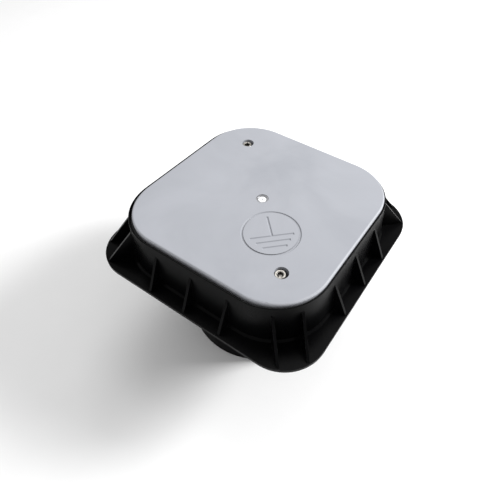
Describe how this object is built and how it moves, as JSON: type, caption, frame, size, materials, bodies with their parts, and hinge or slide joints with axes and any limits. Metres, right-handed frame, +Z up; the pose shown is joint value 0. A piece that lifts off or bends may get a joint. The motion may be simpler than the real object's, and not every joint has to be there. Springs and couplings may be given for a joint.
{
  "type": "earth inspection pit cover",
  "caption": "Square cast lid with a sunken earth sign, screwed into a ribbed plastic ground frame on a round neck that holds an earth test link.",
  "frame": {"origin": "centre of the neck's bottom edge", "axes": "+Z up through the neck to the lid, X and Y along the sides of the square flange; the lid screws are on the diagonal through -X+Y and +X-Y"},
  "size_m": [0.24, 0.24, 0.169],
  "materials": {
    "cast_lid": "light grey powder coat over cast metal, faintly mottled",
    "frame_plastic": "black moulded plastic, satin, faint flow marks",
    "neck_plastic": "black pipe with fine drawn lines round it",
    "seal_rubber": "matt black",
    "screw_steel": "plain stainless, turned",
    "washer_steel": "plain stainless",
    "dark_steel": "blackened steel",
    "white_plastic": "white, slightly glossy",
    "insert_brass": "turned brass",
    "bridge_plastic": "grey glass-filled plastic, satin",
    "link_copper": "tinned copper"
  },
  "bodies": {
    "frame": {"frame_body": "frame_plastic", "lid_gasket": "seal_rubber", "neck_seal": "seal_rubber", "far_insert": "insert_brass", "near_insert": "insert_brass", "terminal_bridge": "bridge_plastic", "bridge_screws": "screw_steel", "rod_stud": "screw_steel", "line_stud": "screw_steel", "stud_lock_nuts": "washer_steel", "link_washers": "washer_steel", "link_spring_washers": "washer_steel", "rod_nut": "washer_steel", "line_nut": "washer_steel"},
    "lid": {"lid_plate": "cast_lid", "lifting_bush": "dark_steel"},
    "plug": {"lifting_plug": "white_plastic"},
    "far_washer": {"far_screw_washer": "washer_steel"},
    "far_screw_body": {"far_screw": "screw_steel"},
    "near_washer": {"near_screw_washer": "washer_steel"},
    "near_screw_body": {"near_screw": "screw_steel"},
    "link": {"link_bar": "link_copper"},
    "neck": {"neck_pipe": "neck_plastic"}
  },
  "joints": [
    {"name": "lid_lift", "type": "slide", "parent": "frame", "child": "lid", "axis": [0, 0, 1], "range_m": [0, 0.06]},
    {"name": "far_screw_travel", "type": "slide", "parent": "lid", "child": "far_washer", "axis": [0, 0, 1], "range_m": [0, 0.02]},
    {"name": "far_screw_turn", "type": "hinge", "parent": "far_washer", "child": "far_screw_body", "pos_m": [-0.064, 0.064, 0.1612], "axis": [0, 0, 1], "range_deg": [0, 7200]},
    {"name": "near_screw_travel", "type": "slide", "parent": "lid", "child": "near_washer", "axis": [0, 0, 1], "range_m": [0, 0.02]},
    {"name": "near_screw_turn", "type": "hinge", "parent": "near_washer", "child": "near_screw_body", "pos_m": [0.064, -0.064, 0.1612], "axis": [0, 0, 1], "range_deg": [0, 7200]},
    {"name": "plug_pull", "type": "slide", "parent": "lid", "child": "plug", "axis": [0, 0, 1], "range_m": [0, 0.012]},
    {"name": "link_swing", "type": "hinge", "parent": "frame", "child": "link", "pos_m": [-0.022, 0, 0.0756], "axis": [0, 0, 1], "range_deg": [0, 90]},
    {"name": "neck_slide", "type": "slide", "parent": "frame", "child": "neck", "axis": [0, 0, -1], "range_m": [0, 0.027]}
  ],
  "couplings": [
    {"joint": "far_screw_turn", "follows": "far_screw_travel", "rad_per_m": 6283.2},
    {"joint": "near_screw_turn", "follows": "near_screw_travel", "rad_per_m": 6283.2}
  ]
}
